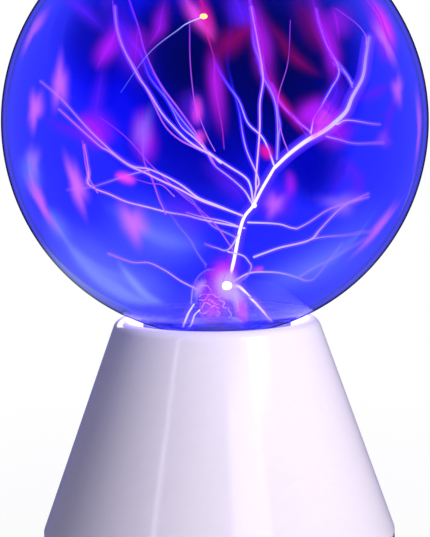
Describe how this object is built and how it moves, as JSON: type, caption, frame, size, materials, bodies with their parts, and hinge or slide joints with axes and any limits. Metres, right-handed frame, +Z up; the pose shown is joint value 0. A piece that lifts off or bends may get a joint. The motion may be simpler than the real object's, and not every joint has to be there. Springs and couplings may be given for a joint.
{
  "type": "plasma ball",
  "caption": "Desk plasma ball: a clear gas-filled glass globe with an electrode tube, on a flared conical base with a rear power inlet and slide switch.",
  "frame": {"origin": "on the table, under the middle of the base", "axes": "+Z up along the axis of the globe, +Y to the back, where the inlet and the switch are, +X to the right seen from the front"},
  "size_m": [0.15, 0.15, 0.2262],
  "materials": {
    "adhesive": "set silicone",
    "black_abs": "spark-textured moulded ABS",
    "black_screw": "black passivated",
    "board_laminate": "paper phenolic laminate",
    "bobbin_plastic": "moulded bobbin",
    "capacitor_sleeve": "shrunk sleeve",
    "capsule_metal": "drawn can",
    "collar_nylon": "moulded nylon",
    "contact_metal": "nickel plated",
    "copper_wire": "bare copper",
    "enamelled_wire": "enamelled copper wire",
    "ferrite": "sintered ferrite",
    "foam": "foamed plastic",
    "foot_rubber": "moulded rubber",
    "frame_steel": "folded, nickel plated",
    "globe_glass": "clear blown soda-lime glass",
    "grey_foam": "soft cushion ring",
    "insulator_phenolic": "phenolic sheet",
    "jack_plastic": "moulded nylon",
    "lead_black": "PVC insulation",
    "lead_red": "PVC insulation",
    "lead_yellow": "PVC insulation",
    "package_epoxy": "moulded epoxy",
    "resistor_lacquer": "lacquered ceramic",
    "silicone_lead": "silicone insulation",
    "sink_aluminium": "extruded, plain",
    "slider_plastic": "moulded acetal",
    "stem_glass": "clear drawn glass",
    "tinned_copper": "tinned copper",
    "white_abs": "polished moulded ABS",
    "wool_steel": "fine steel wool",
    "zinc_screw": "zinc plated"
  },
  "bodies": {
    "body": {"board_screws": "zinc_screw", "bottom_cover": "black_abs", "circuit_board": "board_laminate", "collar_screws": "zinc_screw", "cover_screws": "black_screw", "electrode_stem": "stem_glass", "electrode_wire": "copper_wire", "exhaust_tip": "stem_glass", "globe_shell": "globe_glass", "heat_sink": "sink_aluminium", "high_voltage_lead": "silicone_lead", "high_voltage_winding": "enamelled_wire", "housing": "white_abs", "jack_body": "jack_plastic", "jack_pin": "contact_metal", "jack_spring": "contact_metal", "large_capacitor": "capacitor_sleeve", "microphone": "capsule_metal", "neck_adhesive": "adhesive", "neck_collar": "collar_nylon", "power_transistor": "package_epoxy", "primary_winding": "enamelled_wire", "resistors": "resistor_lacquer", "rubber_feet": "foot_rubber", "seat_ring": "grey_foam", "small_capacitors": "capacitor_sleeve", "steel_wool": "wool_steel", "switch_frame": "frame_steel", "switch_insulator": "insulator_phenolic", "switch_lead_black": "lead_black", "switch_lead_red": "lead_red", "switch_lead_yellow": "lead_yellow", "switch_screws": "zinc_screw", "switch_terminals": "contact_metal", "timer_chip": "package_epoxy", "transformer_bobbin": "bobbin_plastic", "transformer_core": "ferrite", "transformer_pins": "tinned_copper", "transistor_screw": "zinc_screw", "wool_plug": "foam"},
    "switch_lever": {"switch_slider": "slider_plastic", "switch_contact": "contact_metal"}
  },
  "joints": [
    {"name": "switch_slide", "type": "slide", "parent": "body", "child": "switch_lever", "axis": [1, 0, 0], "range_m": [-0.0025, 0.0025]}
  ]
}
